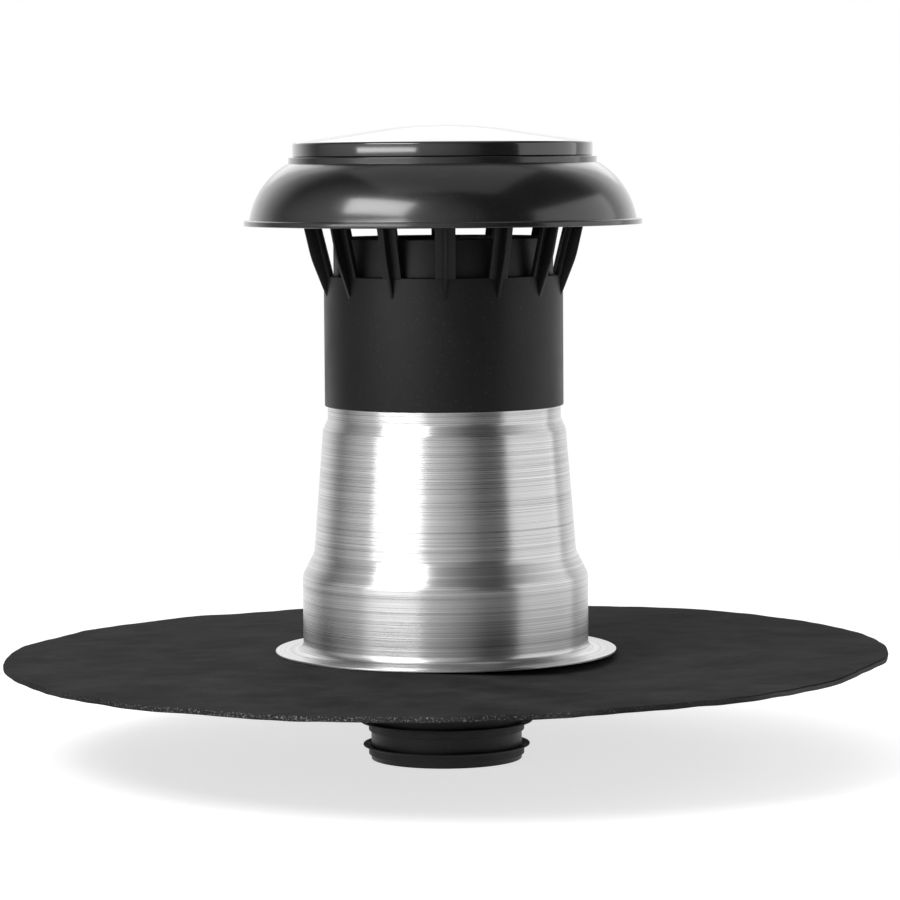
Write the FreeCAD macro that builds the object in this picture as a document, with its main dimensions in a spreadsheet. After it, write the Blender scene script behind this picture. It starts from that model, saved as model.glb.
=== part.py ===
"""Flat-roof vent terminal with a flashing membrane.

A spun aluminium body stands on a round flashing membrane. A plastic duct runs
through it, from the spigot below the roof up to the rain cowl, and a sleeve of
foam keeps it away from the metal. Millimetres, +Z up, origin on the pipe's axis
at the underside of the membrane, which is the plane of the roof.
"""
import FreeCAD, Part
import math
import os
import Sketcher

SIZES = {
    # flashing membrane
    "membrane_radius": 204.5,
    "membrane_thick": 2.5,
    "membrane_gap": 0.5,
    # spun aluminium body
    "body_wall": 1.2,
    "flange_width": 12.9,
    "flange_fillet": 4.0,
    "foot_step": 5.5,
    "foot_height": 35.9,
    "waist_step": 4.4,
    "waist_rise": 10.7,
    "waist_fillet": 8.0,
    "crown_step": 2.3,
    "crown_rise": 56.4,
    "crown_fillet": 3.0,
    "collar_inset": 1.3,
    "collar_rise": 5.0,
    "collar_height": 6.0,
    "neck_height": 22.0,
    # vent sleeve, slipped over the neck, and its ribs
    "sleeve_radius": 55.0,
    "sleeve_wall": 2.3,
    "sleeve_length": 60.3,
    "neck_gap": 0.2,
    "rib_count": 14,
    "rib_phase": 1.0,
    "vent_height": 45.4,
    "tongue_width": 9.2,
    "tongue_thick": 2.2,
    "tongue_inset": 0.5,
    "tongue_lean": 11.7,
    "tongue_root": 1.5,
    "blade_thick": 1.4,
    "blade_drop": 9.8,
    "blade_root": 1.0,
    "knee_rise": 7.8,
    "knee_out": 7.0,
    "knee_arc": 50.0,
    "ring_ledge": 2.9,
    "ring_lip": 3.9,
    "ring_thick": 2.8,
    # rain hood
    "hood_wall": 2.2,
    "hood_drop": 25.6,
    "deck_margin": 0.6,
    "deck_thick": 2.6,
    "skirt_flare": 13.6,
    "skirt_drop": 8.2,
    "skirt_swell": 3.8,
    "skirt_arc": 36.0,
    "lip_width": 2.5,
    "lip_thick": 2.6,
    "lip_edge": 0.8,
    "band_step": 0.8,
    "band_height": 3.0,
    "band_wall": 3.0,
    "hatch_ledge": 3.1,
    "guide_wall": 1.6,
    "guide_depth": 2.4,
    "guide_gap": 0.3,
    # lid, snapped into the hood's hatch
    "lid_step": 1.8,
    "lid_rim": 6.7,
    "lid_rise": 7.9,
    "lid_wall": 2.0,
    "lid_edge": 1.4,
    "lid_foot_edge": 0.5,
    "crest_radius": 16.0,
    "crest_arc": 200.0,
    "plug_gap": 0.3,
    "plug_wall": 1.8,
    "barb_catch": 0.6,
    "barb_height": 1.6,
    "barb_gap": 0.1,
    # duct, from the spigot to the upstand inside the cowl
    "spigot_radius": 34.9,
    "spigot_length": 47.4,
    "duct_wall": 2.0,
    "duct_flange_gap": 4.7,
    "duct_flange_thick": 2.5,
    "funnel_rise": 19.0,
    "funnel_gap": 0.8,
    "upstand": 17.0,
    # foam sleeve between the duct and the metal
    "foam_gap": 0.3,
    # lip seals on the spigot
    "seal_gap": 0.05,
    "seal_wall": 1.1,
    "seal_height": 4.2,
    "fin_thick": 0.9,
    "fin_rise": 0.8,
    "lower_seal_lift": 2.3,
    "lower_fin_reach": 3.7,
    "upper_seal_lift": 13.4,
    "upper_fin_reach": 5.1,
}

# Levels and radii that several pieces share, as sums of named sizes.
BODY_FOOT = "membrane_thick"
FOOT_TOP = BODY_FOOT + " + foot_height"
WAIST = FOOT_TOP + " + waist_rise"
CROWN = WAIST + " + crown_rise"
COLLAR = CROWN + " + collar_rise"
SLEEVE_FOOT = COLLAR + " + collar_height"
SLEEVE_TOP = SLEEVE_FOOT + " + sleeve_length"
VENT_TOP = SLEEVE_TOP + " + vent_height"
DECK_FOOT = VENT_TOP + " + ring_thick"
DECK_TOP = DECK_FOOT + " + deck_thick"
BAND_TOP = DECK_TOP + " + band_height"
LIP_FOOT = DECK_FOOT + " - hood_drop"
LIP_TOP = LIP_FOOT + " + lip_thick"
LID_EDGE = BAND_TOP + " + lid_rim"
LID_TOP = LID_EDGE + " + lid_rise"
DUCT_FOOT = "0 - spigot_length"
DUCT_SEAT = BODY_FOOT + " + duct_flange_thick"
FUNNEL_FOOT = COLLAR + " - funnel_rise"
DUCT_TOP = SLEEVE_TOP + " + upstand"

SLEEVE_BORE = "sleeve_radius - sleeve_wall"
NECK_RADIUS = SLEEVE_BORE + " - neck_gap"
COLLAR_RADIUS = "sleeve_radius - collar_inset"
CROWN_RADIUS = COLLAR_RADIUS + " + crown_step"
WAIST_RADIUS = CROWN_RADIUS + " + waist_step"
FOOT_RADIUS = WAIST_RADIUS + " + foot_step"
FLANGE_RADIUS = FOOT_RADIUS + " + flange_width"
DUCT_MOUTH = NECK_RADIUS + " - body_wall - funnel_gap"
DUCT_FLANGE = FOOT_RADIUS + " - body_wall - duct_flange_gap"
TONGUE_FOOT = SLEEVE_BORE + " + tongue_inset"
TONGUE_HEAD = TONGUE_FOOT + " + tongue_lean"
RING_BORE = TONGUE_HEAD + " - ring_ledge"
RING_RADIUS = TONGUE_HEAD + " + tongue_thick + ring_lip"
GUIDE_RADIUS = RING_BORE + " - guide_gap"
HATCH_RADIUS = GUIDE_RADIUS + " - guide_wall - hatch_ledge"
DECK_RADIUS = RING_RADIUS + " + deck_margin"
BAND_RADIUS = DECK_RADIUS + " - band_step"
LID_RADIUS = BAND_RADIUS + " - lid_step"
SKIRT_KNEE = DECK_RADIUS + " + skirt_flare"
SKIRT_RADIUS = SKIRT_KNEE + " + skirt_swell"


def number(text):
    """The value of a sum of named sizes, each of which may have a factor."""
    total = 0.0
    sign = 1.0
    for word in text.split():
        if word in ("+", "-"):
            sign = 1.0 if word == "+" else -1.0
            continue
        factor, _, name = word.rpartition("*")
        size = SIZES[name] if name in SIZES else float(name)
        total += sign * float(factor or 1) * size
    return total


def formula(text):
    """The same sum as an expression on the spreadsheet's aliases."""
    words = []
    for word in text.split():
        factor, star, name = word.rpartition("*")
        words.append(factor + star + ("Sizes." + name if name in SIZES else name))
    return " ".join(words)


def add_sizes(doc):
    sheet = doc.addObject("Spreadsheet::Sheet", "Sizes")
    for row, (name, value) in enumerate(SIZES.items(), start=1):
        sheet.set(f"A{row}", name)
        sheet.set(f"B{row}", str(value))
        sheet.setAlias(f"B{row}", name)
    doc.recompute()


def add_body(doc, label):
    body = doc.addObject("PartDesign::Body", label)
    body.Label = label
    return body


def add_sketch(body, name, role):
    sketch = body.newObject("Sketcher::SketchObject", name)
    planes = [plane for plane in body.Origin.OriginFeatures if plane.Role == role]
    sketch.AttachmentSupport = [(planes[0], "")]
    sketch.MapMode = "FlatFace"
    return sketch


def bind(sketch, name, kind, where, text):
    """Add a dimension to a sketch and tie it to the spreadsheet."""
    index = sketch.addConstraint(Sketcher.Constraint(kind, *where, number(text)))
    sketch.renameConstraint(index, name)
    sketch.setExpression("Constraints." + name, formula(text))


def corner_point(corner):
    return FreeCAD.Vector(number(corner[0]), number(corner[1]), 0)


def add_corner_arc(sketch, before, corner, after, radius):
    """Round a corner: the arc's index, and its ends where it is met and left."""
    back = (before - corner).normalize()
    ahead = (after - corner).normalize()
    half = back.getAngle(ahead) / 2
    centre = corner + (back + ahead).normalize() * (radius / math.sin(half))
    reach = radius / math.tan(half)
    met = corner + back * reach - centre
    left = corner + ahead * reach - centre
    turns_left = back.cross(ahead).z < 0
    first, last = (met, left) if turns_left else (left, met)
    circle = Part.Circle(centre, FreeCAD.Vector(0, 0, 1), radius)
    start = math.atan2(first.y, first.x)
    end = math.atan2(last.y, last.x)
    index = sketch.addGeometry(Part.ArcOfCircle(circle, start, end), False)
    met_end, left_end = (1, 2) if turns_left else (2, 1)
    return index, met_end, left_end, corner + back * reach, corner + ahead * reach


def draw_outline(sketch, corners):
    """A closed outline through corners given as sums, some with an arc radius."""
    points = [corner_point(corner) for corner in corners]
    count = len(corners)
    arcs = {}
    lines = []
    for i, corner in enumerate(corners):
        if len(corner) == 3:
            after = points[(i + 1) % count]
            arcs[i] = add_corner_arc(sketch, points[i - 1], points[i], after, number(corner[2]))
    for i in range(count):
        follow = (i + 1) % count
        start = arcs[i][4] if i in arcs else points[i]
        end = arcs[follow][3] if follow in arcs else points[follow]
        lines.append(sketch.addGeometry(Part.LineSegment(start, end), False))
    for i, corner in enumerate(corners):
        if i in arcs:
            arc, met_end, left_end = arcs[i][:3]
            sketch.addConstraint(Sketcher.Constraint("Tangent", lines[i - 1], 2, arc, met_end))
            sketch.addConstraint(Sketcher.Constraint("Tangent", arc, left_end, lines[i], 1))
            held = sketch.addGeometry(Part.Point(points[i]), True)
            sketch.addConstraint(Sketcher.Constraint("PointOnObject", held, 1, lines[i - 1]))
            sketch.addConstraint(Sketcher.Constraint("PointOnObject", held, 1, lines[i]))
            bind(sketch, f"arc{i}", "Radius", (arc,), corner[2])
        else:
            held = lines[i]
            sketch.addConstraint(Sketcher.Constraint("Coincident", lines[i - 1], 2, held, 1))
        bind(sketch, f"across{i}", "DistanceX", (-1, 1, held, 1), corner[0])
        bind(sketch, f"up{i}", "DistanceY", (-1, 1, held, 1), corner[1])


def turn(body, name, corners):
    """Revolve an outline of (radius, level) corners about the pipe's axis."""
    sketch = add_sketch(body, name + "_section", "XZ_Plane")
    draw_outline(sketch, corners)
    feature = body.newObject("PartDesign::Revolution", name)
    feature.Profile = sketch
    feature.ReferenceAxis = (sketch, ["V_Axis"])
    feature.Angle = 360
    sketch.Visibility = False
    return feature


def plate(body, name, corners, thick):
    """A flat plate in the plane of the pipe's axis, centred on that plane."""
    sketch = add_sketch(body, name + "_outline", "XZ_Plane")
    draw_outline(sketch, corners)
    feature = body.newObject("PartDesign::Pad", name)
    feature.Profile = sketch
    feature.SideType = "Symmetric"
    feature.setExpression("Length", formula(thick))
    return feature


def build_membrane(doc):
    """Round sheet with a hole that the duct's spigot drops through."""
    body = add_body(doc, "flashing_membrane")
    hole = "spigot_radius + membrane_gap"
    turn(body, "sheet", [
        (hole, "0"),
        ("membrane_radius", "0"),
        ("membrane_radius", "membrane_thick"),
        (hole, "membrane_thick"),
    ])
    return body


def build_aluminium_body(doc):
    """Spun shell: flange, foot, waist, taper, crown, collar and hidden neck."""
    body = add_body(doc, "aluminium_body")
    wall = " - body_wall"
    turn(body, "shell", [
        (FLANGE_RADIUS, BODY_FOOT),
        (FLANGE_RADIUS, BODY_FOOT + " + body_wall"),
        (FOOT_RADIUS, BODY_FOOT + " + body_wall", "flange_fillet"),
        (FOOT_RADIUS, FOOT_TOP, "waist_fillet"),
        (WAIST_RADIUS, WAIST, "waist_fillet"),
        (CROWN_RADIUS, CROWN, "crown_fillet"),
        (COLLAR_RADIUS, COLLAR, "crown_fillet"),
        (COLLAR_RADIUS, SLEEVE_FOOT),
        (NECK_RADIUS, SLEEVE_FOOT),
        (NECK_RADIUS, SLEEVE_FOOT + " + neck_height"),
        (NECK_RADIUS + wall, SLEEVE_FOOT + " + neck_height"),
        (NECK_RADIUS + wall, SLEEVE_FOOT + wall),
        (COLLAR_RADIUS + wall, SLEEVE_FOOT + wall),
        (COLLAR_RADIUS + wall, COLLAR, "crown_fillet"),
        (CROWN_RADIUS + wall, CROWN, "crown_fillet"),
        (WAIST_RADIUS + wall, WAIST, "waist_fillet"),
        (FOOT_RADIUS + wall, FOOT_TOP, "waist_fillet"),
        (FOOT_RADIUS + wall, BODY_FOOT, "flange_fillet + body_wall"),
    ])
    return body


def build_foam(doc):
    """Foam that fills the body between its wall and the duct."""
    body = add_body(doc, "foam_sleeve")
    bore = "spigot_radius + foam_gap"
    inset = " - body_wall - foam_gap"
    top = FUNNEL_FOOT + " - foam_gap"
    turn(body, "filling", [
        (bore, DUCT_SEAT),
        (FOOT_RADIUS + inset, DUCT_SEAT),
        (FOOT_RADIUS + inset, FOOT_TOP, "waist_fillet"),
        (WAIST_RADIUS + inset, WAIST, "waist_fillet"),
        (CROWN_RADIUS + inset, top),
        (bore, top),
    ])
    return body


def build_duct(doc):
    """Spigot, seat flange, straight duct, funnel and the upstand in the cowl."""
    body = add_body(doc, "inner_duct")
    wall = " - duct_wall"
    turn(body, "tube", [
        ("spigot_radius" + wall, DUCT_FOOT),
        ("spigot_radius", DUCT_FOOT),
        ("spigot_radius", BODY_FOOT),
        (DUCT_FLANGE, BODY_FOOT),
        (DUCT_FLANGE, DUCT_SEAT),
        ("spigot_radius", DUCT_SEAT),
        ("spigot_radius", FUNNEL_FOOT),
        (DUCT_MOUTH, COLLAR),
        (DUCT_MOUTH, DUCT_TOP),
        (DUCT_MOUTH + wall, DUCT_TOP),
        (DUCT_MOUTH + wall, COLLAR),
        ("spigot_radius" + wall, FUNNEL_FOOT),
    ])
    return body


def build_sleeve(doc):
    """Sleeve with a circle of T-shaped ribs that carry the cowl's ring."""
    body = add_body(doc, "vent_sleeve")
    turn(body, "sleeve", [
        (SLEEVE_BORE, SLEEVE_FOOT),
        ("sleeve_radius", SLEEVE_FOOT),
        ("sleeve_radius", SLEEVE_TOP),
        (SLEEVE_BORE, SLEEVE_TOP),
    ])
    turn(body, "ring", [
        (RING_BORE, VENT_TOP),
        (RING_RADIUS, VENT_TOP),
        (RING_RADIUS, DECK_FOOT),
        (RING_BORE, DECK_FOOT),
    ])
    rib_top = VENT_TOP + " + 0.5*ring_thick"
    tongue = plate(body, "tongue", [
        (TONGUE_FOOT, SLEEVE_TOP + " - tongue_root"),
        ("sleeve_radius - 0.1*sleeve_wall", SLEEVE_TOP + " - tongue_root"),
        (TONGUE_FOOT + " + tongue_thick", SLEEVE_TOP),
        (TONGUE_HEAD + " + tongue_thick", rib_top),
        (TONGUE_HEAD, rib_top),
        (TONGUE_FOOT, SLEEVE_TOP),
    ], "tongue_width")
    blade = plate(body, "blade", [
        ("sleeve_radius - blade_root", SLEEVE_TOP + " - blade_drop"),
        ("sleeve_radius", SLEEVE_TOP + " - blade_drop"),
        ("sleeve_radius + knee_out", SLEEVE_TOP + " + knee_rise", "knee_arc"),
        (RING_RADIUS, rib_top),
        (TONGUE_HEAD + " + blade_root", rib_top),
        (TONGUE_FOOT + " + blade_root", SLEEVE_TOP),
    ], "blade_thick")
    doc.recompute()
    ribs = body.newObject("PartDesign::PolarPattern", "ribs")
    ribs.Originals = [tongue, blade]
    ribs.Axis = (body.Origin.OriginFeatures[2], [""])
    ribs.Angle = 360
    ribs.setExpression("Occurrences", formula("rib_count"))
    body.Tip = ribs
    front = number("rib_phase") - 90
    body.Placement = FreeCAD.Placement(FreeCAD.Vector(), FreeCAD.Rotation(front, 0, 0))
    return body


def build_hood(doc):
    """Rain hood: lip, rounded skirt, deck with a raised band, and an open hatch."""
    body = add_body(doc, "rain_hood")
    turn(body, "hood", [
        (HATCH_RADIUS, DECK_FOOT),
        (HATCH_RADIUS, DECK_TOP),
        (BAND_RADIUS + " - band_wall", DECK_TOP),
        (BAND_RADIUS + " - band_wall", BAND_TOP),
        (BAND_RADIUS, BAND_TOP),
        (BAND_RADIUS, DECK_TOP),
        (DECK_RADIUS, DECK_TOP),
        (SKIRT_KNEE, DECK_TOP + " - skirt_drop", "skirt_arc"),
        (SKIRT_RADIUS, LIP_TOP),
        (SKIRT_RADIUS + " + lip_width", LIP_TOP, "lip_edge"),
        (SKIRT_RADIUS + " + lip_width", LIP_FOOT),
        (SKIRT_RADIUS + " - hood_wall", LIP_FOOT),
        (SKIRT_KNEE + " - 0.9*hood_wall", DECK_TOP + " - skirt_drop - 0.6*hood_wall",
         "skirt_arc - 3*hood_wall"),
        (DECK_RADIUS, DECK_FOOT),
        (GUIDE_RADIUS, DECK_FOOT),
        (GUIDE_RADIUS, DECK_FOOT + " - guide_depth"),
        (GUIDE_RADIUS + " - guide_wall", DECK_FOOT + " - guide_depth"),
        (GUIDE_RADIUS + " - guide_wall", DECK_FOOT),
    ])
    return body


def build_lid(doc):
    """Lid: rim on the hood's band, low dome, and a barbed plug in the hatch."""
    body = add_body(doc, "cowl_lid")
    turn(body, "cap", [
        (LID_RADIUS + " - lid_wall", BAND_TOP),
        (LID_RADIUS + " - lid_foot_edge", BAND_TOP),
        (LID_RADIUS, BAND_TOP + " + lid_foot_edge"),
        (LID_RADIUS, LID_EDGE, "lid_edge"),
        ("crest_radius", LID_TOP, "crest_arc"),
        ("0", LID_TOP),
        ("0", LID_TOP + " - lid_wall"),
        ("crest_radius", LID_TOP + " - lid_wall"),
        (LID_RADIUS + " - lid_wall", LID_EDGE + " - lid_wall"),
    ])
    plug = HATCH_RADIUS + " - plug_gap"
    barb = DECK_FOOT + " - barb_gap"
    turn(body, "plug", [
        (plug + " - plug_wall", barb + " - barb_height"),
        (plug, barb + " - barb_height"),
        (HATCH_RADIUS + " + barb_catch", barb),
        (plug, barb),
        (plug, LID_EDGE + " + 0.25*lid_wall"),
        (plug + " - plug_wall", LID_EDGE + " + 0.25*lid_wall"),
    ])
    return body


def build_seal(doc, label, lift, fin_reach):
    """Rubber ring on the spigot with one thin fin that sweeps upwards."""
    body = add_body(doc, label)
    bore = "spigot_radius + seal_gap"
    back = bore + " + seal_wall"
    fin = "spigot_radius + " + fin_reach
    foot = DUCT_FOOT + " + " + lift
    top = foot + " + seal_height"
    turn(body, "ring", [
        (bore, foot),
        (back, foot),
        (back, top + " - fin_thick"),
        (fin, top + " - fin_thick + fin_rise"),
        (fin, top + " - 0.4*fin_thick + fin_rise"),
        (back, top),
        (bore, top),
    ])
    return body


def check(doc):
    for item in doc.Objects:
        if "Invalid" in item.State or "Error" in item.State:
            raise RuntimeError(item.Label + " did not recompute: " + str(item.State))


def write(pieces):
    os.makedirs("parts", exist_ok=True)
    for piece in pieces:
        shape = piece.Shape
        if shape.isNull() or not shape.isValid():
            raise RuntimeError(piece.Label + " has no valid shape")
    for piece in pieces:
        piece.Shape.exportStep(os.path.join("parts", piece.Label + ".step"))


def main():
    doc = FreeCAD.newDocument("vent_terminal")
    add_sizes(doc)
    pieces = [
        build_membrane(doc),
        build_aluminium_body(doc),
        build_foam(doc),
        build_duct(doc),
        build_sleeve(doc),
        build_hood(doc),
        build_lid(doc),
        build_seal(doc, "upper_lip_seal", "upper_seal_lift", "upper_fin_reach"),
        build_seal(doc, "lower_lip_seal", "lower_seal_lift", "lower_fin_reach"),
    ]
    doc.recompute()
    check(doc)
    write(pieces)


main()
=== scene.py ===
"""Looks of a flat-roof vent terminal with a flashing membrane.

Millimetres in the size tables, metres in Blender. Azimuths are in degrees about
the pipe's axis: 0 faces the camera (-Y) and +90 is to the right (+X).
"""
import math

import bmesh
import bpy
from mathutils import Matrix, Vector, noise


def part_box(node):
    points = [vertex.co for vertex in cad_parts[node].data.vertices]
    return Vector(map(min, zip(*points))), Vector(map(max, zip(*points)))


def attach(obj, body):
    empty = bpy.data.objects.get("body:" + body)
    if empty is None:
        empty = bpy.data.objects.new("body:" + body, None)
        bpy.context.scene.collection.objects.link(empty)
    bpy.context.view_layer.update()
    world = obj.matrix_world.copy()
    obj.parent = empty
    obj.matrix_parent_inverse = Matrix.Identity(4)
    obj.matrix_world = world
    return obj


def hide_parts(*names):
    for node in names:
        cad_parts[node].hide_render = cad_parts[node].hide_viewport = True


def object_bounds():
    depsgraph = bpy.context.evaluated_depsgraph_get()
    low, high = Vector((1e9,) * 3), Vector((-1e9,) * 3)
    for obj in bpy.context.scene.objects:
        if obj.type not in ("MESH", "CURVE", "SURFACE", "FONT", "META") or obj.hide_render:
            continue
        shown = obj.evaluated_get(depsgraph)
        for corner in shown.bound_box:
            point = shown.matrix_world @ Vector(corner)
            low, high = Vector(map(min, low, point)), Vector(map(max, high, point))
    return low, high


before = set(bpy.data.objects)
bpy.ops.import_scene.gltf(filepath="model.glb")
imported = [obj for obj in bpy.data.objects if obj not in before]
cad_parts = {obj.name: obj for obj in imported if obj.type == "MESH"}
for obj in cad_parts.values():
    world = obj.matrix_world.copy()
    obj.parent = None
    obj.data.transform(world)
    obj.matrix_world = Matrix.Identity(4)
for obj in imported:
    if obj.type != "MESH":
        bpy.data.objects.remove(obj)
CAD_BOX = [list(corner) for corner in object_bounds()]
MM = 0.001

# levels
SPIGOT_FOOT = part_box("inner_duct")[0][2] / MM
MEMBRANE_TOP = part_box("flashing_membrane")[1][2] / MM
DUCT_SEAT = 5.0
FOOT_TOP = 38.4
WAIST = 49.1
FUNNEL_FOOT = 91.5
CROWN = 105.5
COLLAR = 110.5
SLEEVE_FOOT = 116.5
NECK_TOP = 138.5
BLADE_FOOT = 167.0
SLEEVE_TOP = 176.8
DUCT_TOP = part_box("inner_duct")[1][2] / MM
LIP_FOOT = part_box("rain_hood")[0][2] / MM
LIP_TOP = LIP_FOOT + 2.6
KNEE = 219.4
VENT_TOP = 222.2
DECK_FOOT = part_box("vent_sleeve")[1][2] / MM
DECK_TOP = DECK_FOOT + 2.6
BAND_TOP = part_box("rain_hood")[1][2] / MM
LID_EDGE = 237.3
LID_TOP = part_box("cowl_lid")[1][2] / MM

# radii
SPIGOT = 34.9
SPIGOT_BORE = 32.9
MEMBRANE_HOLE = 35.4
MEMBRANE_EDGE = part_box("flashing_membrane")[1][0] / MM
DUCT_FLANGE = 60.0
DUCT_MOUTH = 50.5
DUCT_WALL = 2.0
BODY_WALL = 1.2
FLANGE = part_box("aluminium_body")[1][0] / MM
FOOT = 65.9
WAIST_OUT = 60.4
CROWN_OUT = 56.0
COLLAR_OUT = 53.7
NECK = 52.5
SLEEVE = 55.0
SLEEVE_BORE = 52.7
TONGUE_FOOT = 53.2
TONGUE_HEAD = 64.9
RING_BORE = 62.0
RING = 71.0
GUIDE = 61.7
HATCH = 57.0
DECK = 71.6
BAND = 70.8
KNEE_OUT = 85.2
SKIRT = 89.0
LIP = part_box("rain_hood")[1][0] / MM
LID = 69.0
CREST = 16.0

# walls, edges and ribs
HOOD_WALL = 2.2
LID_WALL = 2.0
EDGE = 0.35
FINE_EDGE = 0.2
RIB_COUNT = 14
RIB_PHASE = 1.0
TONGUE_WIDTH = 9.2
TONGUE_THICK = 2.2
BLADE_THICK = 1.4
TURNS = 288
POLE = 0.4
SHARP = math.radians(38)
HARD = math.radians(35)

# fewest steps of an arc, and how they grow with its turn and its radius
ARC_MIN = 3
ARC_STEPS = 4
ARC_STEPS_BY_SIZE = 2.5
# share of a side that the arcs at its two ends may take up
ARC_ROOM = 0.98

# seals, ribs, hood and lid in detail
SEAL_FIT = 0.05
SEAL_RING = 1.15
SEAL_HEIGHT = 4.2
FIN_ROOT = 1.1
FIN_TIP = 0.55
FIN_ROUND = 0.12
RIB_SINK = 1.4
TONGUE_SINK = 1.5
TONGUE_INSET = 0.23
BLADE_ROOT = 1.0
BLADE_OUT = 7.0
BLADE_UP = 7.8
BLADE_CURVE = 50.0
BAND_WALL = 3.0
GUIDE_WALL = 1.6
GUIDE_HEIGHT = 2.4
KNEE_IN = 0.9
KNEE_DOWN = 0.6
PLUG_GAP = 0.3
PLUG_WALL = 1.8
BARB = 0.6
BARB_HEIGHT = 1.6
BARB_GAP = 0.1


# ---------------------------------------------------------------- profiles

def arc_reach(corners, i, default):
    """How far the arc at a corner starts before it, and the corner's half angle."""
    corner = corners[i]
    here = Vector(corner[:2])
    back = Vector(corners[i - 1][:2]) - here
    ahead = Vector(corners[(i + 1) % len(corners)][:2]) - here
    half = back.angle(ahead) / 2
    radius = corner[2] if len(corner) == 3 else default
    return radius / math.tan(half), half


def rounded(corners, default=0.0):
    """An outline of (radius, level[, arc radius]) corners with its arcs drawn."""
    points = []
    count = len(corners)
    for i, corner in enumerate(corners):
        here = Vector(corner[:2])
        back = Vector(corners[i - 1][:2]) - here
        ahead = Vector(corners[(i + 1) % count][:2]) - here
        reach, half = arc_reach(corners, i, default)
        if reach <= 0:
            points.append(here)
            continue
        for side, other in ((back, i - 1), (ahead, (i + 1) % count)):
            both = reach + arc_reach(corners, other, default)[0]
            reach *= min(1.0, ARC_ROOM * side.length / both)
        radius = reach * math.tan(half)
        back.normalize()
        ahead.normalize()
        centre = here + (back + ahead).normalized() * (radius / math.sin(half))
        first = here + back * reach - centre
        last = here + ahead * reach - centre
        turn = first.angle_signed(last)
        steps = max(ARC_MIN, int(abs(turn) * (ARC_STEPS + math.sqrt(radius) * ARC_STEPS_BY_SIZE)))
        for k in range(steps + 1):
            angle = -turn * k / steps
            points.append(centre + Matrix.Rotation(angle, 2) @ first)
    return points


def finish_mesh(name, bm, material, node):
    """Make the piece, smooth but for its sharp edges, and tie it to the frame."""
    bmesh.ops.recalc_face_normals(bm, faces=bm.faces)
    mesh = bpy.data.meshes.new(name)
    bm.to_mesh(mesh)
    bm.free()
    mesh.shade_smooth()
    mesh.set_sharp_from_angle(angle=SHARP)
    piece = bpy.data.objects.new(name, mesh)
    bpy.context.collection.objects.link(piece)
    mesh.materials.append(material)
    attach(piece, "root")
    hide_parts(node)
    return piece


def spin(bm, outline, turns=TURNS):
    """Add a closed outline of (radius, level) points turned about the axis."""
    rows = []
    for i in range(turns):
        angle = 2 * math.pi * i / turns
        c, s = math.cos(angle) * MM, math.sin(angle) * MM
        rows.append([bm.verts.new((p[0] * c, p[0] * s, p[1] * MM)) for p in outline])
    count = len(outline)
    for i in range(turns):
        near, far = rows[i], rows[(i + 1) % turns]
        for k in range(count):
            nxt = (k + 1) % count
            bm.faces.new((near[k], far[k], far[nxt], near[nxt]))


def lathe(name, corners, material, node, default=EDGE):
    """Make a piece by turning (radius, level[, arc radius]) corners about the axis."""
    bm = bmesh.new()
    spin(bm, rounded(corners, default=default))
    finish_mesh(name, bm, material, node)


# --------------------------------------------------------------- materials

def grey(level):
    """An opaque grey."""
    return (level, level, level, 1)


def maths(tree, operation, *sources):
    """The result of a math node fed by sockets or plain numbers."""
    made = tree.nodes.new("ShaderNodeMath")
    made.operation = operation
    for socket, source in zip(made.inputs, sources):
        if isinstance(source, (int, float)):
            socket.default_value = source
        else:
            tree.links.new(source, socket)
    return made.outputs[0]


def ranged(tree, source, low, high, start, end):
    """A socket mapped from start..end onto low..high, and held there beyond."""
    made = tree.nodes.new("ShaderNodeMapRange")
    tree.links.new(source, made.inputs["Value"])
    keys = ("From Min", "From Max", "To Min", "To Max")
    for key, number in zip(keys, (start, end, low, high)):
        made.inputs[key].default_value = number
    return made.outputs["Result"]


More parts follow.
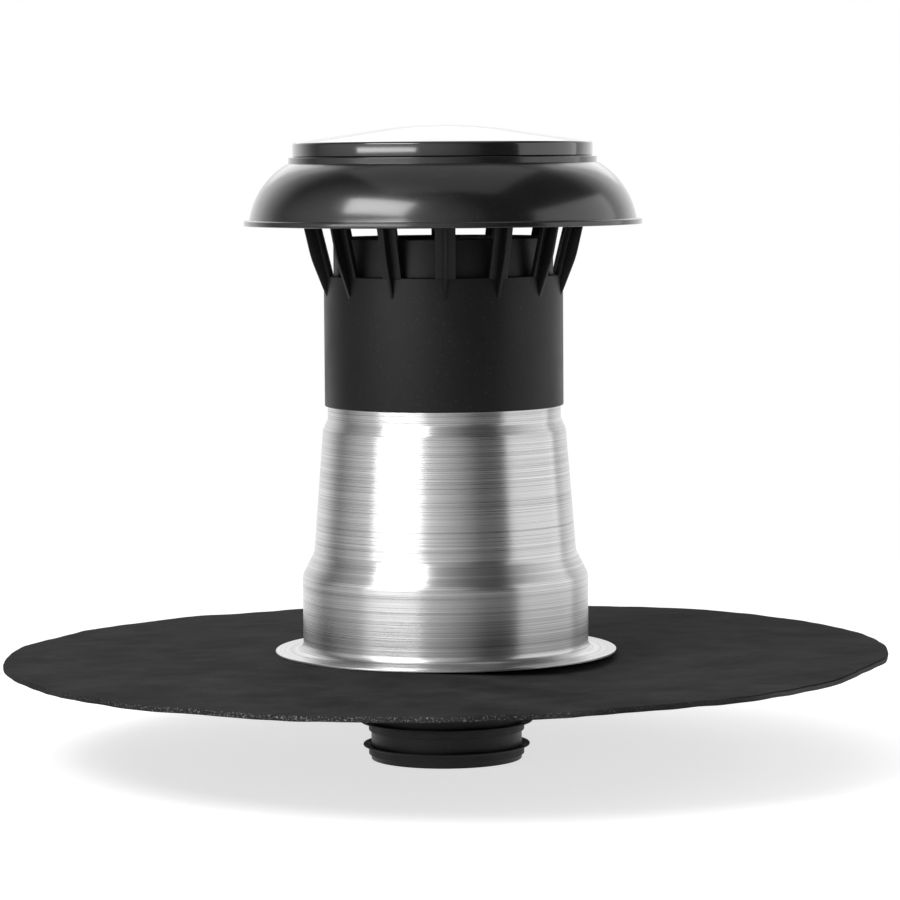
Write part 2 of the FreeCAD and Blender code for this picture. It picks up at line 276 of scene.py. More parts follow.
class Look:
    """A node material with a principled shader and helpers for its detail."""

    def __init__(self, name, rough, metallic=0.0, ior=1.5, coat=0.0, coat_rough=0.1,
                 anisotropic=0.0, specular=0.5, coat_ior=1.5):
        self.material = bpy.data.materials.new(name)
        self.material.use_nodes = True
        self.tree = self.material.node_tree
        self.shader = self.tree.nodes["Principled BSDF"]
        self.shader.inputs["Roughness"].default_value = rough
        self.shader.inputs["Metallic"].default_value = metallic
        self.shader.inputs["IOR"].default_value = ior
        self.shader.inputs["Coat Weight"].default_value = coat
        self.shader.inputs["Coat Roughness"].default_value = coat_rough
        self.shader.inputs["Coat IOR"].default_value = coat_ior
        self.shader.inputs["Anisotropic"].default_value = anisotropic
        self.shader.inputs["Specular IOR Level"].default_value = specular
        self.place = self.node("ShaderNodeTexCoord").outputs["Object"]

    def node(self, kind, **settings):
        made = self.tree.nodes.new(kind)
        for key, value in settings.items():
            setattr(made, key, value)
        return made

    def link(self, source, target):
        self.tree.links.new(source, target)

    def maths(self, operation, *sources):
        return maths(self.tree, operation, *sources)

    def grain(self, scale, detail=4.0, rough=0.55, place=None):
        made = self.node("ShaderNodeTexNoise")
        made.inputs["Scale"].default_value = scale
        made.inputs["Detail"].default_value = detail
        made.inputs["Roughness"].default_value = rough
        self.link(place or self.place, made.inputs["Vector"])
        return made.outputs["Fac"]

    def span(self, value, low, high, start=0.3, end=0.7):
        return ranged(self.tree, value, low, high, start, end)

    def greys(self, value, dark, light, start=0.3, end=0.7):
        ramp = self.node("ShaderNodeValToRGB")
        ramp.color_ramp.elements[0].position = start
        ramp.color_ramp.elements[1].position = end
        ramp.color_ramp.elements[0].color = grey(dark)
        ramp.color_ramp.elements[1].color = grey(light)
        self.link(value, ramp.inputs["Fac"])
        return ramp.outputs["Color"]

    def bumps(self, *layers):
        """Stack (height, distance in mm, strength) layers into the normal."""
        normal = None
        for height, distance, strength in layers:
            made = self.node("ShaderNodeBump")
            made.inputs["Distance"].default_value = distance * MM
            made.inputs["Strength"].default_value = strength
            self.link(height, made.inputs["Height"])
            if normal:
                self.link(normal, made.inputs["Normal"])
            normal = made.outputs["Normal"]
        self.link(normal, self.shader.inputs["Normal"])

    def rings(self, per_metre, around=9.0):
        """Coordinates that change fast along the profile and slowly around it."""
        split = self.node("ShaderNodeSeparateXYZ")
        self.link(self.place, split.inputs[0])
        across = self.maths("MULTIPLY", split.outputs[0], split.outputs[0])
        along = self.maths("MULTIPLY", split.outputs[1], split.outputs[1])
        radius = self.maths("SQRT", self.maths("ADD", across, along))
        travel = self.maths("SUBTRACT", split.outputs[2], radius)
        join = self.node("ShaderNodeCombineXYZ")
        self.link(self.maths("MULTIPLY", split.outputs[0], around), join.inputs[0])
        self.link(self.maths("MULTIPLY", split.outputs[1], around), join.inputs[1])
        self.link(self.maths("MULTIPLY", travel, per_metre), join.inputs[2])
        return join.outputs[0]


def plastic(name, base, rough, coat, coat_rough, dust, specular, coat_ior=1.5):
    """Moulded plastic: faint flow marks, fine grain, and a little dust."""
    look = Look(name, rough, ior=1.48, coat=coat, coat_rough=coat_rough, specular=specular,
                coat_ior=coat_ior)
    fine = look.grain(scale=2600, detail=3)
    flow = look.grain(scale=38, detail=4)
    speck = look.grain(scale=900, detail=2, rough=0.7)
    mix = look.node("ShaderNodeMix", data_type="RGBA")
    look.link(look.span(speck, 0, dust, start=0.6, end=0.74), mix.inputs["Factor"])
    look.link(look.greys(flow, base * 0.85, base * 1.15), mix.inputs["A"])
    mix.inputs["B"].default_value = grey(0.16)
    look.link(mix.outputs["Result"], look.shader.inputs["Base Color"])
    look.link(look.span(flow, rough * 0.88, rough * 1.14), look.shader.inputs["Roughness"])
    look.bumps((flow, 0.25, 0.12), (fine, 0.012, 0.35))
    return look.material


def spun_aluminium():
    """Bare metal with fine rings round the axis from spinning."""
    look = Look("spun_aluminium_looks", rough=0.28, metallic=1.0, anisotropic=0.7)
    look.shader.inputs["Anisotropic Rotation"].default_value = 0.25
    broad = look.grain(1.0, detail=3, rough=0.5, place=look.rings(420, around=1.2))
    fine = look.grain(1.0, detail=3, rough=0.6, place=look.rings(2100, around=1.6))
    patch = look.grain(scale=14, detail=3)
    broad_part = look.maths("MULTIPLY", broad, 0.35)
    fine_part = look.maths("MULTIPLY", fine, 0.65)
    both = look.maths("ADD", broad_part, fine_part)
    look.link(look.greys(both, dark=0.33, light=0.80, start=0.38, end=0.62),
              look.shader.inputs["Base Color"])
    look.link(look.maths("ADD", look.span(both, 0.24, 0.34), look.span(patch, -0.03, 0.03)),
              look.shader.inputs["Roughness"])
    look.bumps((broad, 0.05, 0.4), (fine, 0.018, 0.6))
    around = look.node("ShaderNodeTangent", direction_type="RADIAL", axis="Z")
    look.link(around.outputs[0], look.shader.inputs["Tangent"])
    return look.material


def membrane_felt():
    """Dusty dark membrane, with pale specks painted as glints on its edge and painted light on a
    stretch of its cut face.
    """
    look = Look("membrane_looks", rough=0.86, ior=1.45, specular=0.04)
    dust = look.grain(scale=26, detail=6, rough=0.62)
    grain = look.grain(scale=1500, detail=3, rough=0.6)
    # noise for the pale specks painted as glints on the edge
    glint_noise = look.grain(scale=1250, detail=2, rough=0.65)
    cut = look.node("ShaderNodeAttribute", attribute_name="cut").outputs["Fac"]
    pale = look.node("ShaderNodeAttribute", attribute_name="pale").outputs["Fac"]
    dust_part = look.maths("MULTIPLY", dust, 0.7)
    grain_part = look.maths("MULTIPLY", grain, 0.3)
    body = look.greys(look.maths("ADD", dust_part, grain_part),
                      dark=0.015, light=0.046, start=0.36, end=0.64)
    mix = look.node("ShaderNodeMix", data_type="RGBA")
    # painted glints: pale specks on the edge, where the cut attribute is set
    painted_glints = look.maths("MULTIPLY", look.span(glint_noise, 0, 1, start=0.54, end=0.7), cut)
    # painted light: pale grey on a stretch of the cut face, where the pale attribute is set
    look.link(look.maths("MAXIMUM", painted_glints, look.maths("MULTIPLY", pale, PAINTED_LIGHT_SHARE)),
              mix.inputs["Factor"])
    look.link(body, mix.inputs["A"])
    mix.inputs["B"].default_value = grey(0.5)
    look.link(mix.outputs["Result"], look.shader.inputs["Base Color"])
    look.link(look.span(dust, 0.76, 0.9), look.shader.inputs["Roughness"])
    look.bumps((dust, 0.6, 0.35), (grain, 0.09, 0.6))
    return look.material


def seal_rubber():
    """Matt black rubber with a faint bloom."""
    look = Look("seal_rubber_looks", rough=0.62, ior=1.5, specular=0.35)
    bloom = look.grain(scale=120, detail=4)
    fine = look.grain(scale=2200, detail=2)
    look.link(look.greys(bloom, 0.007, 0.014), look.shader.inputs["Base Color"])
    look.link(look.span(bloom, 0.54, 0.7), look.shader.inputs["Roughness"])
    look.bumps((fine, 0.02, 0.4))
    return look.material


def bead_foam():
    """Pale foam of small beads, hidden in the finished part."""
    look = Look("foam_looks", rough=0.9, ior=1.4)
    beads = look.node("ShaderNodeTexVoronoi")
    beads.inputs["Scale"].default_value = 330
    look.link(look.place, beads.inputs["Vector"])
    reach = beads.outputs["Distance"]
    look.link(look.greys(reach, 0.78, 0.6, start=0.1, end=0.75), look.shader.inputs["Base Color"])
    look.link(look.span(reach, 0.84, 0.95), look.shader.inputs["Roughness"])
    look.bumps((reach, -0.6, 0.6))
    return look.material


# how much pale grey is painted on a stretch of the membrane's cut face, as painted light
PAINTED_LIGHT_SHARE = 0.09

GLOSS = plastic("cowl_plastic_looks", base=0.005, rough=0.24, coat=1.0, coat_rough=0.16,
                dust=0.10, specular=0.4, coat_ior=1.45)
LID_GLOSS = plastic("lid_plastic_looks", base=0.005, rough=0.15, coat=1.0, coat_rough=0.08,
                    dust=0.10, specular=0.5)
SATIN = plastic("sleeve_plastic_looks", base=0.004, rough=0.44, coat=0.05, coat_rough=0.3,
                dust=0.10, specular=0.25)
DUCT = plastic("duct_plastic_looks", base=0.004, rough=0.45, coat=0.05, coat_rough=0.3,
               dust=0.12, specular=0.3)
METAL = spun_aluminium()
FELT = membrane_felt()
RUBBER = seal_rubber()
FOAM = bead_foam()


# ------------------------------------------------------------------ pieces

def build_body():
    wall = BODY_WALL
    top = MEMBRANE_TOP
    lathe("spun_body", [
        (FLANGE, top, 0.3),
        (FLANGE, top + wall, 0.45),
        (FOOT, top + wall, 4.0),
        (FOOT, FOOT_TOP, 8.0),
        (WAIST_OUT, WAIST, 8.0),
        (CROWN_OUT, CROWN, 3.0),
        (COLLAR_OUT, COLLAR, 3.0),
        (COLLAR_OUT, SLEEVE_FOOT, 0.3),
        (NECK, SLEEVE_FOOT, 0.2),
        (NECK, NECK_TOP, 0.3),
        (NECK - wall, NECK_TOP, 0.3),
        (NECK - wall, SLEEVE_FOOT - wall, 0.2),
        (COLLAR_OUT - wall, SLEEVE_FOOT - wall, 0.2),
        (COLLAR_OUT - wall, COLLAR, 3.0),
        (CROWN_OUT - wall, CROWN, 3.0),
        (WAIST_OUT - wall, WAIST, 8.0),
        (FOOT - wall, FOOT_TOP, 8.0),
        (FOOT - wall, top, 5.2),
    ], METAL, "aluminium_body", default=0.2)


def build_duct():
    lathe("duct_tube", [
        (SPIGOT_BORE, SPIGOT_FOOT),
        (SPIGOT, SPIGOT_FOOT),
        (SPIGOT, MEMBRANE_TOP, 0.4),
        (DUCT_FLANGE, MEMBRANE_TOP),
        (DUCT_FLANGE, DUCT_SEAT),
        (SPIGOT, DUCT_SEAT, 0.4),
        (SPIGOT, FUNNEL_FOOT, 6.0),
        (DUCT_MOUTH, COLLAR, 6.0),
        (DUCT_MOUTH, DUCT_TOP, 0.5),
        (DUCT_MOUTH - DUCT_WALL, DUCT_TOP, 0.5),
        (DUCT_MOUTH - DUCT_WALL, COLLAR, 6.0),
        (SPIGOT_BORE, FUNNEL_FOOT, 6.0),
    ], DUCT, "inner_duct")


def build_seal(name, node):
    """A ring with a thin swept fin, in the place and size of its CAD seal."""
    low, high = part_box(node)
    foot, tip_top, reach = low[2] / MM, high[2] / MM, high[0] / MM
    bore = SPIGOT + SEAL_FIT
    ring = SPIGOT + SEAL_RING
    top = foot + SEAL_HEIGHT
    lathe(name, [
        (bore, foot),
        (ring, foot, 0.3),
        (ring, top - FIN_ROOT, 0.4),
        (reach, tip_top - FIN_TIP, FIN_ROUND),
        (reach - 0.05, tip_top, FIN_ROUND),
        (ring, top, 0.4),
        (bore, top),
    ], RUBBER, node, default=FINE_EDGE)


def add_prism(bm, outline, width, steps, bevel):
    """Add RIB_COUNT plates that stand in planes through the axis, bent round it."""
    made = bmesh.new()
    rows = []
    for j in range(steps + 1):
        aside = width * (j / steps - 0.5)
        row = []
        for radius, level in outline:
            angle = aside / radius
            c, s = math.cos(angle), math.sin(angle)
            row.append(made.verts.new((radius * c, radius * s, level)))
        rows.append(row)
    count = len(outline)
    for near, far in zip(rows, rows[1:]):
        for k in range(count):
            nxt = (k + 1) % count
            made.faces.new((near[k], near[nxt], far[nxt], far[k]))
    made.faces.new(rows[0])
    made.faces.new(list(reversed(rows[-1])))
    bmesh.ops.recalc_face_normals(made, faces=made.faces)
    hard = [e for e in made.edges if len(e.link_faces) == 2 and e.calc_face_angle(0) > HARD]
    bmesh.ops.bevel(made, geom=hard, offset=bevel, segments=2, profile=0.6, affect="EDGES")
    bmesh.ops.triangulate(made, faces=[f for f in made.faces if len(f.verts) > 4])
    for i in range(RIB_COUNT):
        angle = math.radians(RIB_PHASE - 90 + 360 * i / RIB_COUNT)
        turned = Matrix.Rotation(angle, 4, "Z") @ Matrix.Scale(MM, 4)
        copies = {v: bm.verts.new(turned @ v.co) for v in made.verts}
        for face in made.faces:
            bm.faces.new([copies[v] for v in face.verts])
    made.free()


def build_sleeve():
    rib_top = VENT_TOP + RIB_SINK
    lathe("sleeve_tube", [
        (SLEEVE_BORE, SLEEVE_FOOT),
        (SLEEVE, SLEEVE_FOOT, 0.5),
        (SLEEVE, SLEEVE_TOP, 0.8),
        (SLEEVE_BORE, SLEEVE_TOP),
    ], SATIN, "vent_sleeve")
    lathe("cowl_ring", [
        (RING_BORE, VENT_TOP),
        (RING, VENT_TOP),
        (RING, DECK_FOOT),
        (RING_BORE, DECK_FOOT),
    ], SATIN, "vent_sleeve")
    bm = bmesh.new()
    add_prism(bm, rounded([
        (TONGUE_FOOT, SLEEVE_TOP - TONGUE_SINK),
        (SLEEVE - TONGUE_INSET, SLEEVE_TOP - TONGUE_SINK),
        (TONGUE_FOOT + TONGUE_THICK, SLEEVE_TOP),
        (TONGUE_HEAD + TONGUE_THICK, rib_top),
        (TONGUE_HEAD, rib_top),
        (TONGUE_FOOT, SLEEVE_TOP),
    ]), TONGUE_WIDTH, 6, 0.25)
    add_prism(bm, rounded([
        (SLEEVE - BLADE_ROOT, BLADE_FOOT),
        (SLEEVE, BLADE_FOOT),
        (SLEEVE + BLADE_OUT, SLEEVE_TOP + BLADE_UP, BLADE_CURVE),
        (RING, rib_top),
        (TONGUE_HEAD + BLADE_ROOT, rib_top),
        (TONGUE_FOOT + BLADE_ROOT, SLEEVE_TOP),
    ]), BLADE_THICK, 2, FINE_EDGE)
    finish_mesh("vent_ribs", bm, SATIN, "vent_sleeve")


def build_hood():
    lathe("hood_shell", [
        (HATCH, DECK_FOOT),
        (HATCH, DECK_TOP),
        (BAND - BAND_WALL, DECK_TOP, 0.2),
        (BAND - BAND_WALL, BAND_TOP),
        (BAND, BAND_TOP, 0.45),
        (BAND, DECK_TOP, 0.2),
        (DECK, DECK_TOP, 0.3),
        (KNEE_OUT, KNEE, 36.0),
        (SKIRT, LIP_TOP, 0.3),
        (LIP, LIP_TOP, 0.8),
        (LIP, LIP_FOOT, 0.5),
        (SKIRT - HOOD_WALL, LIP_FOOT, 0.4),
        (KNEE_OUT - KNEE_IN * HOOD_WALL, KNEE - KNEE_DOWN * HOOD_WALL, 29.4),
        (DECK, DECK_FOOT, 0.5),
        (GUIDE, DECK_FOOT, 0.2),
        (GUIDE, DECK_FOOT - GUIDE_HEIGHT),
        (GUIDE - GUIDE_WALL, DECK_FOOT - GUIDE_HEIGHT),
        (GUIDE - GUIDE_WALL, DECK_FOOT, 0.2),
    ], GLOSS, "rain_hood")


def build_lid():
    """Rim, low dome and plug. The dome is left bare."""
    inner = LID_TOP - LID_WALL
    bm = bmesh.new()
    spin(bm, rounded([
        (LID - LID_WALL, BAND_TOP, 0.2),
        (LID - 0.5, BAND_TOP, 0.2),
        (LID, BAND_TOP + 0.5, 0.3),
        (LID, LID_EDGE, 1.4),
        (CREST, LID_TOP, 200.0),
        (POLE, LID_TOP, 0.0),
        (POLE, inner, 0.0),
        (CREST, inner, 0.0),
        (LID - LID_WALL, LID_EDGE - LID_WALL, 0.4),
    ]))
    # cap the small hole on the axis; its own wall stays inside the dome
    for level in (LID_TOP, inner):
        ring = [v for v in bm.verts
                if abs(v.co.z - level * MM) < 1e-7 and v.co.xy.length < (POLE + 0.01) * MM]
        ring.sort(key=lambda v: math.atan2(v.co.y, v.co.x))
        bm.faces.new(ring)
    plug = HATCH - PLUG_GAP
    barb = DECK_FOOT - BARB_GAP
    spin(bm, rounded([
        (plug - PLUG_WALL, barb - BARB_HEIGHT),
        (plug, barb - BARB_HEIGHT),
        (HATCH + BARB, barb, 0.1),
        (plug, barb, 0.1),
        (plug, LID_EDGE + 0.5),
        (plug - PLUG_WALL, LID_EDGE + 0.5),
    ], default=FINE_EDGE))
    finish_mesh("lid_dome", bm, LID_GLOSS, "cowl_lid")


# ---------------------------------------------------------------- membrane

# the sheet leans up to one side, curls up at both ends of that line and droops a little:
# heights at the rim, which grow with a power of the way out from the flange
LEAN = 1.5
LEAN_AZIMUTH = 80.0
CURL = 0.8
DROOP = 1.0
LIFT_POWER = 1.6
# uneven lie: its height, its coarse and fine noise per mm, and how soon it sets in
CREASE = 0.8
CREASE_COARSE = 0.016
CREASE_FINE = 0.07
CREASE_FINE_SHARE = 0.4
CREASE_ONSET = 4
# unevenness of the cut: (waves round the rim, height in mm, azimuth of a crest)
CUT_WAVES = [(5, 0.3, 12.0), (7, 0.15, 31.0)]
# straight cuts with a knife: (azimuth, distance from the axis)
CHORDS = [
    (68.0, 200.5), (26.0, 200.0), (-30.0, 202.5), (-64.0, 203.0),
    (-112.0, 202.0), (-150.0, 201.0), (140.0, 202.5),
]
CHORD_SPAN = 40
CUT_MARGIN = 0.4
# along this stretch the cut face gets pale grey as painted light, with a dark line under its top
# edge from a groove
PAINTED_LIGHT_AZIMUTH = 64.0
PAINTED_LIGHT_SPAN = 30.0
PAINTED_LIGHT_RAMP = 2.5
CUT_FACE_GROOVE = 0.7
# the dip under the flange: radii from the axis, and spans to its sides and outward
DIP_DEPTH = 3.7
DIP_AZIMUTH = 50.0
DIP_SPAN = 68.0
DIP_INNER = 54.0
DIP_RAMP = 26.0
DIP_FADE = 75.0
FLAT_OUT = 72.0
SHEET_ROWS = 74
SHEET_TURNS = 360
# rows of the cut face from the top down, as shares of the thickness
CUT_SHARES = (0.86, 0.72, 0.5, 0.2)
TOP_INSET = 0.35
BOTTOM_INSET = 0.25
CUT_BULGE = 0.3
CUT_ROUGH = 0.22
RIM_ROUGH = 0.12
# painted glints, pale specks on the edge: strongest at one azimuth, weaker on the rim than on the
# cut face
GLINT_AZIMUTH = -18.0
GLINT_POWER = 8
RIM_GLINT = 0.06
CUT_GLINT = 0.04
CUT_GLINT_FRONT = 0.5


def degrees_from(middle, azimuth):
    """Degrees from the middle azimuth, between -180 and 180."""
    return (azimuth - middle + 180) % 360 - 180


def lie(x, y, scale, layer):
    """Smooth noise at a place on the sheet."""
    return noise.noise(Vector((x * scale, y * scale, layer)))


def membrane_lift(azimuth, radius):
    """Height of the sheet over the flat roof, from the flange to the rim."""
    out = max(0.0, (radius - FLAT_OUT) / (MEMBRANE_EDGE - FLAT_OUT))
    along = math.radians(azimuth - LEAN_AZIMUTH)
    lift = (LEAN * math.cos(along) + CURL * math.cos(2 * along) - DROOP) * out ** LIFT_POWER
    aside = degrees_from(DIP_AZIMUTH, azimuth)
    if abs(aside) < DIP_SPAN:
        window = math.cos(math.pi / 2 * aside / DIP_SPAN) ** 2
        ramp = min(1.0, max(0.0, (radius - DIP_INNER) / DIP_RAMP))
        beyond = max(0.0, radius - DIP_INNER - DIP_RAMP)
        fade = math.exp(-(beyond / DIP_FADE) ** 2)
        lift -= DIP_DEPTH * window * ramp * ramp * (3 - 2 * ramp) * fade
    x, y = radius * math.sin(math.radians(azimuth)), radius * math.cos(math.radians(azimuth))
    crease = lie(x, y, CREASE_COARSE, layer=3.7) \
        + CREASE_FINE_SHARE * lie(x, y, CREASE_FINE, layer=8.1)
    return lift + CREASE * crease * min(1.0, out * CREASE_ONSET)


def membrane_edge(azimuth):
    """Radius of the cut: a round outline trimmed by straight knife cuts."""
    uneven = sum(height * math.cos(count * math.radians(azimuth - crest))
                 for count, height, crest in CUT_WAVES)
    edge = MEMBRANE_EDGE - CUT_MARGIN - abs(uneven)
    for middle, distance in CHORDS:
        aside = degrees_from(middle, azimuth)
        if abs(aside) < CHORD_SPAN:
            edge = min(edge, distance / math.cos(math.radians(aside)))
    return edge


def build_membrane():
    """One wavy round sheet, cut by hand, with pale specks painted as glints along its edge."""
    bm = bmesh.new()
    cut = bm.verts.layers.float.new("cut")
    pale = bm.verts.layers.float.new("pale")
    thick = MEMBRANE_TOP
    top, bottom = [], []
    for i in range(SHEET_TURNS):
        azimuth = 360.0 * i / SHEET_TURNS
        angle = math.radians(azimuth)
        edge = membrane_edge(azimuth)
        # painted glints on the edge, strongest toward one azimuth
        front = max(0.0, math.cos(angle - math.radians(GLINT_AZIMUTH))) ** GLINT_POWER
        # painted light on the cut face along one stretch, fading out to its sides
        aside = abs(degrees_from(PAINTED_LIGHT_AZIMUTH, azimuth))
        painted_light = min(1.0, PAINTED_LIGHT_RAMP * max(0.0, 1 - aside / PAINTED_LIGHT_SPAN))
        upper, lower = [], []
        for k in range(SHEET_ROWS + 1):
            radius = MEMBRANE_HOLE + (edge - MEMBRANE_HOLE) * k / SHEET_ROWS
            lift = membrane_lift(azimuth, radius)
            last = k == SHEET_ROWS
            rough = RIM_ROUGH * noise.noise(Vector((i * 0.9, 0.0, 5.0))) if last else 0.0
            x, y = math.sin(angle) * MM, -math.cos(angle) * MM
            sides = (upper, thick, TOP_INSET), (lower, 0.0, BOTTOM_INSET)
            for row, level, inset in sides:
                out = radius - (inset if last else 0.0) + rough
                vert = bm.verts.new((out * x, out * y, (level + lift) * MM))
                vert[cut] = RIM_GLINT * front if last else 0.0
                row.append(vert)
            if last:
                for share in CUT_SHARES:
                    grooved = share == CUT_SHARES[0]
                    out = radius - TOP_INSET + CUT_BULGE * math.sin(math.pi * share) + rough \
                        + CUT_ROUGH * noise.noise(Vector((i * 0.7, share * 6.0, 1.0)))
                    if grooved:
                        out -= CUT_FACE_GROOVE * painted_light
                    vert = bm.verts.new((out * x, out * y, (thick * share + lift) * MM))
                    vert[cut] = CUT_GLINT + CUT_GLINT_FRONT * front
                    # painted light on the cut face, left off its set-in top row
                    vert[pale] = 0.0 if grooved else painted_light
                    upper.append(vert)
        top.append(upper)
        bottom.append(lower)
    for i in range(SHEET_TURNS):
        nxt = (i + 1) % SHEET_TURNS
        near = top[i] + list(reversed(bottom[i]))
        far = top[nxt] + list(reversed(bottom[nxt]))
        for k in range(len(near)):
            ahead = (k + 1) % len(near)
            bm.faces.new((near[k], far[k], far[ahead], near[ahead]))
    piece = finish_mesh("membrane_sheet", bm, FELT, "flashing_membrane")


# ------------------------------------------------------------------- stage

# camera: millimetres of sensor and lens, metres, and degrees
SENSOR = 36.0
LENS = 156.5
CAMERA_PLACE = (0.0025, -1.8, 0.2325)
CAMERA_DOWN = 4.35
CAMERA_ROLL = -0.4
# lamps point here
AIM = Vector((0, 0, 0.1))
KEY_AZIMUTH = -43.0
FILL = 0.42
# floor: metres, and where it starts and ends fading out
FLOOR_RADIUS = 2.4
FLOOR_GREY = 0.62
FLOOR_GLOW = 0.68
FLOOR_SOLID = 0.42
FLOOR_GONE = 0.95
# cloth: metres and degrees
FLAG_DISTANCE = 2.6
FLAG_HALF_SPAN = 142.0
FLAG_STEPS = 48
FRONT_ELEVATIONS = (-46, -20, 4, 28, 56, 89)
OVERHEAD_ELEVATIONS = (50, 70, 89)
CLOTH_GREY = 0.06
GLOW_START = 0.26


def toward(azimuth, elevation, distance):
    a, e = math.radians(azimuth), math.radians(elevation)
    return Vector((math.sin(a) * math.cos(e), -math.cos(a) * math.cos(e), math.sin(e))) * distance


def soft_light(name, azimuth, elevation, distance, width, height, watts):
    lamp = bpy.data.lights.new(name, "AREA")
    lamp.shape = "RECTANGLE"
    lamp.size = width
    lamp.size_y = height
    lamp.energy = watts
    light = bpy.data.objects.new(name, lamp)
    light.visible_camera = False
    bpy.context.collection.objects.link(light)
    light.location = AIM + toward(azimuth, elevation, distance)
    light.rotation_euler = (AIM - light.location).to_track_quat("-Z", "Y").to_euler()


def mix_shaders(tree, share, first, second, output):
    """Send a mix to the output: the second shader by the share, else the first."""
    mix = tree.nodes.new("ShaderNodeMixShader")
    for socket, source in zip(mix.inputs, (share, first, second)):
        tree.links.new(source, socket)
    tree.links.new(mix.outputs[0], tree.nodes[output].inputs["Surface"])


def build_world():
    """White to the camera and in reflections, a dimmer fill to matt surfaces."""
    world = bpy.data.worlds.new("studio")
    bpy.context.scene.world = world
    world.use_nodes = True
    tree = world.node_tree
    path = tree.nodes.new("ShaderNodeLightPath")
    fill = tree.nodes["Background"]
    fill.inputs["Color"].default_value = grey(1)
    fill.inputs["Strength"].default_value = FILL
    white = tree.nodes.new("ShaderNodeBackground")
    white.inputs["Strength"].default_value = 1.0
    white.inputs["Color"].default_value = grey(1)
    seen = maths(tree, "MAXIMUM", path.outputs["Is Camera Ray"], path.outputs["Is Glossy Ray"])
    seen = maths(tree, "MAXIMUM", seen, path.outputs["Is Transmission Ray"])
    mix_shaders(tree, seen, fill.outputs[0], white.outputs[0], "World Output")


def build_floor():
    """Pale round floor at the spigot's foot, fading into the background."""
    bm = bmesh.new()
    bmesh.ops.create_circle(bm, cap_ends=True, segments=96, radius=FLOOR_RADIUS)
    mesh = bpy.data.meshes.new("floor")
    bm.to_mesh(mesh)
    bm.free()
    floor = bpy.data.objects.new("floor", mesh)
    floor.location.z = CAD_BOX[0][2]
    bpy.context.collection.objects.link(floor)
    material = bpy.data.materials.new("floor_pale")
    material.use_nodes = True
    tree = material.node_tree
    shader = tree.nodes["Principled BSDF"]
    shader.inputs["Base Color"].default_value = grey(FLOOR_GREY)
    shader.inputs["Roughness"].default_value = 0.9
    shader.inputs["Specular IOR Level"].default_value = 0.1
    path = tree.nodes.new("ShaderNodeLightPath")
    seen = maths(tree, "MAXIMUM", path.outputs["Is Camera Ray"], path.outputs["Is Glossy Ray"])
    shader.inputs["Emission Color"].default_value = grey(1)
    glow = maths(tree, "MULTIPLY", seen, FLOOR_GLOW)
    tree.links.new(glow, shader.inputs["Emission Strength"])
    place = tree.nodes.new("ShaderNodeTexCoord")
    length = tree.nodes.new("ShaderNodeVectorMath")
    length.operation = "LENGTH"
    tree.links.new(place.outputs["Object"], length.inputs[0])
    fade = ranged(tree, length.outputs["Value"], 0.0, 1.0, start=FLOOR_SOLID, end=FLOOR_GONE)
    # seen from below, the floor is clear
    side = tree.nodes.new("ShaderNodeNewGeometry").outputs["Backfacing"]
    clear = tree.nodes.new("ShaderNodeBsdfTransparent")
    mix_shaders(tree, maths(tree, "MAXIMUM", fade, side), shader.outputs[0], clear.outputs[0],
                "Material Output")
    mesh.materials.append(material)


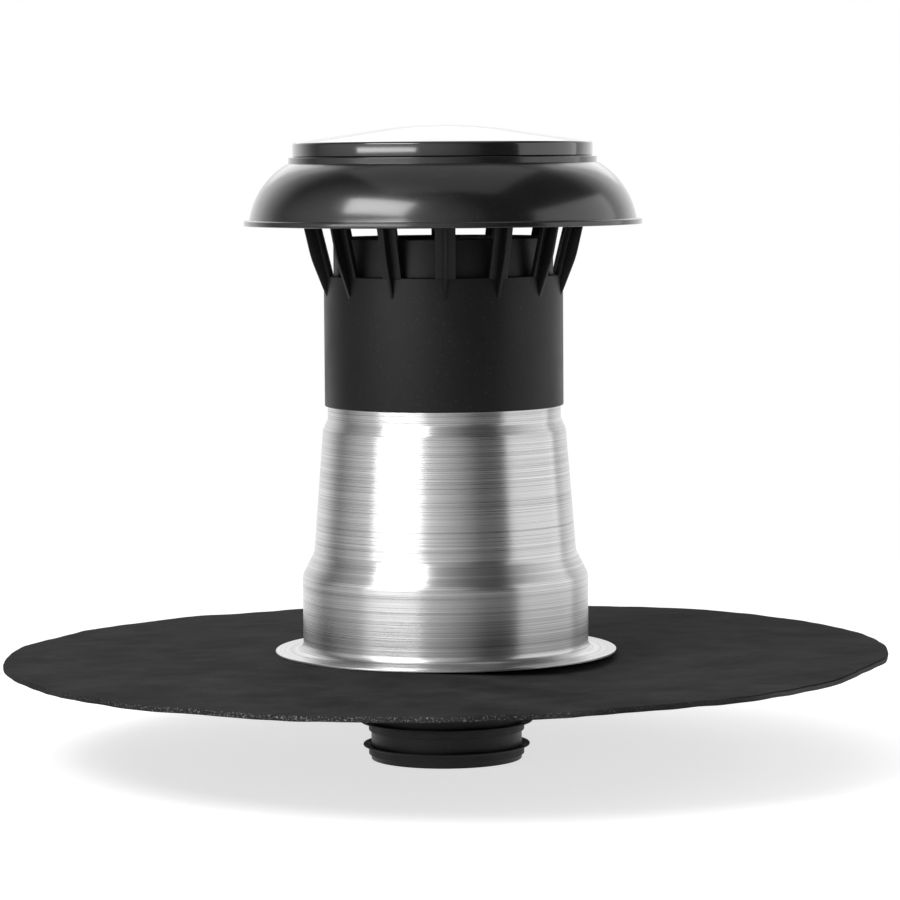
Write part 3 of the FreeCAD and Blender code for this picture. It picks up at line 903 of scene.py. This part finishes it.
def build_flag():
    """Dark studio cloth round the camera's side and overhead, met only by reflections.

    It glows round the key light, less so toward the floor, and behind the object.
    """
    bm = bmesh.new()
    front = (-FLAG_HALF_SPAN, FLAG_HALF_SPAN, FRONT_ELEVATIONS)
    overhead = (FLAG_HALF_SPAN, 360 - FLAG_HALF_SPAN, OVERHEAD_ELEVATIONS)
    for start, end, elevations in (front, overhead):
        rows = []
        for i in range(FLAG_STEPS + 1):
            azimuth = start + (end - start) * i / FLAG_STEPS
            rows.append([bm.verts.new(toward(azimuth, e, FLAG_DISTANCE)) for e in elevations])
        for near, far in zip(rows, rows[1:]):
            for k in range(len(elevations) - 1):
                bm.faces.new((near[k], near[k + 1], far[k + 1], far[k]))
    mesh = bpy.data.meshes.new("studio_flag")
    bm.to_mesh(mesh)
    bm.free()
    flag = bpy.data.objects.new("studio_flag", mesh)
    bpy.context.collection.objects.link(flag)
    for ray in ("camera", "diffuse", "transmission", "shadow", "volume_scatter"):
        setattr(flag, "visible_" + ray, False)
    material = bpy.data.materials.new("studio_cloth")
    material.use_nodes = True
    tree = material.node_tree
    shader = tree.nodes["Principled BSDF"]
    shader.inputs["Base Color"].default_value = grey(CLOTH_GREY)
    shader.inputs["Roughness"].default_value = 0.95
    shader.inputs["Emission Color"].default_value = grey(1)
    place = tree.nodes.new("ShaderNodeTexCoord").outputs["Object"]
    split = tree.nodes.new("ShaderNodeSeparateXYZ")
    tree.links.new(place, split.inputs[0])
    behind = ranged(tree, split.outputs[1], 0.03, 0.9, start=0.9, end=1.9)
    ahead = tree.nodes.new("ShaderNodeVectorMath")
    ahead.operation = "DOT_PRODUCT"
    ahead.inputs[1].default_value = toward(KEY_AZIMUTH, 0, 1)
    tree.links.new(place, ahead.inputs[0])
    glow = ranged(tree, ahead.outputs["Value"], 0.0, 1.0,
                  start=GLOW_START * FLAG_DISTANCE, end=FLAG_DISTANCE)
    low = ranged(tree, split.outputs[2], 0.2, 1.0, start=-0.7, end=0.3)
    total = maths(tree, "MULTIPLY_ADD", glow, low, behind)
    tree.links.new(total, shader.inputs["Emission Strength"])
    mesh.materials.append(material)


def build_camera():
    data = bpy.data.cameras.new("camera")
    data.sensor_width = SENSOR
    data.lens = LENS
    camera = bpy.data.objects.new("camera", data)
    tilt = Matrix.Rotation(math.radians(90 - CAMERA_DOWN), 4, "X")
    roll = Matrix.Rotation(math.radians(CAMERA_ROLL), 4, "Z")
    camera.matrix_world = Matrix.Translation(Vector(CAMERA_PLACE)) @ (tilt @ roll)
    bpy.context.collection.objects.link(camera)
    bpy.context.scene.camera = camera


build_camera()
build_world()
build_floor()
build_flag()
soft_light("key", KEY_AZIMUTH, 5, distance=1.5, width=1.3, height=0.1, watts=3.0)
soft_light("key_core", KEY_AZIMUTH, 38, distance=1.5, width=0.95, height=0.5, watts=12.5)
soft_light("side", 90, 10, distance=1.4, width=1.7, height=1.2, watts=6.8)
soft_light("top", 0, 88, distance=1.6, width=1.6, height=1.6, watts=3.4)
soft_light("behind", 180, 30, distance=1.8, width=1.5, height=0.9, watts=2.6)

build_duct()
build_body()
build_seal("lower_seal", "lower_lip_seal")
build_seal("upper_seal", "upper_lip_seal")
build_sleeve()
build_hood()
build_lid()
build_membrane()
for foam_slot in bpy.data.objects["foam_sleeve"].material_slots:
    foam_slot.material = FOAM

bpy.context.scene.view_settings.view_transform = "Standard"
